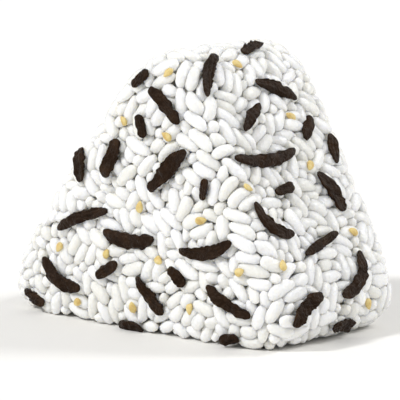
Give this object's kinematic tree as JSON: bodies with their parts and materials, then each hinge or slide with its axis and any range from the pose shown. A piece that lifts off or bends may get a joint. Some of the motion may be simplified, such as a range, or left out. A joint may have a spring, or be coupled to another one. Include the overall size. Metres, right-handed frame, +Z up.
{
  "type": "onigiri rice ball",
  "caption": "Hand-pressed, three-sided cake of cooked white rice with strips of salted kelp and toasted sesame seeds mixed in, standing on its flat pressed base.",
  "frame": {"origin": "middle of the flat pressed base, on the surface the rice ball stands on", "axes": "+Z up, +X to the right along the base as seen from the broad front face, -Y out of the front face"},
  "size_m": [0.0819, 0.0468, 0.0607],
  "materials": {
    "rice": "satin",
    "kelp": "satin",
    "sesame": "satin"
  },
  "bodies": {
    "root": {"rice_ball": "rice"}
  },
  "joints": []
}
